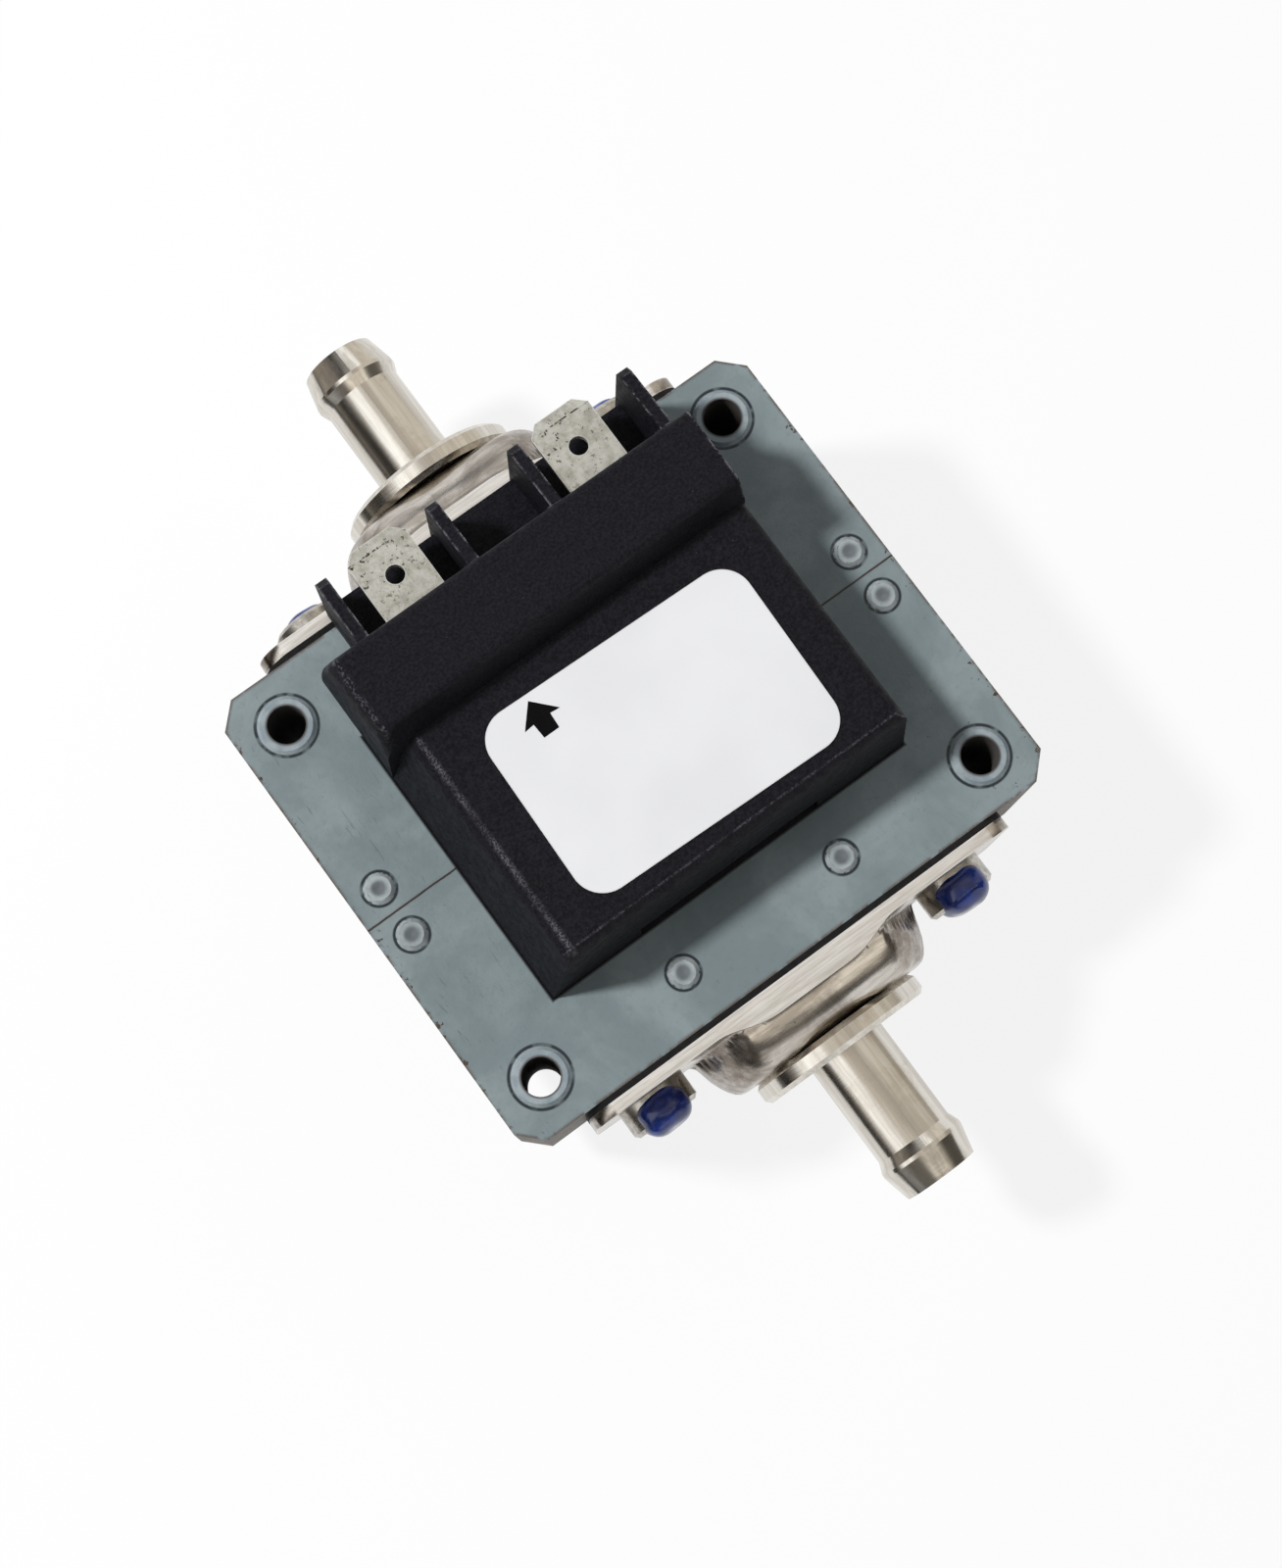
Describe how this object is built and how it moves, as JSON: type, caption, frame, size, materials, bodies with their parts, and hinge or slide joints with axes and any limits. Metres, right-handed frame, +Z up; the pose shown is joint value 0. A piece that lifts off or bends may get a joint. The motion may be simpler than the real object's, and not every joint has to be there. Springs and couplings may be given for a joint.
{
  "type": "solenoid piston pump",
  "caption": "Solenoid piston pump: split lamination core round a black moulded coil housing with spade tabs, pressed end caps with hose barbs, sprung plunger and valves inside.",
  "frame": {"origin": "centre of the four corner mounting holes, on the underside of the lamination core", "axes": "+Y along the pump axis towards the outlet barb, the side with the spade tabs; +Z up through the core to the label side; +X across"},
  "size_m": [0.06, 0.098, 0.046],
  "materials": {
    "core_coating": "grey-blue coating over silicon steel laminations, bare brown edges",
    "eyelet_coating": "grey-blue coating",
    "rivet_coating": "grey-blue coating",
    "housing_plastic": "fine-grained moulded black plastic",
    "bobbin_plastic": "natural nylon",
    "winding_copper": null,
    "diode_body": "moulded body with tinned leads",
    "tab_tin": "tin-plated brass, speckled",
    "label_film": "plain white film",
    "gasket_sheet": "black sheet",
    "cap_stainless": "pressed stainless, satin with drawing streaks",
    "barb_stainless": "turned and polished stainless",
    "screw_steel": "zinc-plated or stainless screw",
    "seal_lacquer": "glossy blue locking lacquer",
    "tube_stainless": "drawn stainless",
    "ring_iron": "turned soft iron",
    "spacer_brass": "turned brass, not magnetic",
    "o_ring_rubber": "black rubber",
    "block_brass": "turned brass",
    "plunger_steel": "ground ferritic stainless",
    "ball_steel": "polished steel ball",
    "valve_rubber": "moulded rubber",
    "spring_steel": "spring wire"
  },
  "bodies": {
    "pump_body": {"core_half_outlet": "core_coating", "core_half_inlet": "core_coating", "corner_eyelets": "eyelet_coating", "core_rivets": "rivet_coating", "coil_housing": "housing_plastic", "coil_bobbin": "bobbin_plastic", "coil_winding": "winding_copper", "rectifier_diode": "diode_body", "terminal_tab_left": "tab_tin", "terminal_tab_right": "tab_tin", "label_plate": "label_film", "flange_gasket_outlet": "gasket_sheet", "flange_gasket_inlet": "gasket_sheet", "end_cap_outlet": "cap_stainless", "end_cap_inlet": "cap_stainless", "hose_barb_outlet": "barb_stainless", "hose_barb_inlet": "barb_stainless", "flange_screws_outlet": "screw_steel", "flange_screws_inlet": "screw_steel", "screw_seals_outlet": "seal_lacquer", "screw_seals_inlet": "seal_lacquer", "guide_tube": "tube_stainless", "pole_ring_outlet": "ring_iron", "flux_spacer": "spacer_brass", "pole_ring_inlet": "ring_iron", "o_ring_outlet": "o_ring_rubber", "o_ring_inlet": "o_ring_rubber", "cylinder_block": "block_brass", "piston_seal": "o_ring_rubber", "seal_retainer": "screw_steel", "return_spring": "spring_steel", "damper_spring": "spring_steel", "delivery_spring": "spring_steel"},
    "plunger": {"plunger": "plunger_steel", "piston_tube": "tube_stainless", "ball_cage_ring": "tube_stainless", "suction_spring": "spring_steel"},
    "suction_ball": {"suction_ball": "ball_steel"},
    "delivery_valve": {"delivery_valve": "valve_rubber"}
  },
  "joints": [
    {"name": "plunger_stroke", "type": "slide", "parent": "pump_body", "child": "plunger", "axis": [0, 1, 0], "range_m": [-0.006, 0.001], "stiffness_N_per_m": 1200, "deforming": ["return_spring", "damper_spring"]},
    {"name": "suction_ball_lift", "type": "slide", "parent": "plunger", "child": "suction_ball", "axis": [0, 1, 0], "range_m": [0, 0.0008], "stiffness_N_per_m": 20, "springref_m": -0.001, "deforming": ["suction_spring"]},
    {"name": "delivery_valve_lift", "type": "slide", "parent": "pump_body", "child": "delivery_valve", "axis": [0, 1, 0], "range_m": [0, 0.0008], "stiffness_N_per_m": 40, "springref_m": -0.001, "deforming": ["delivery_spring"]}
  ]
}
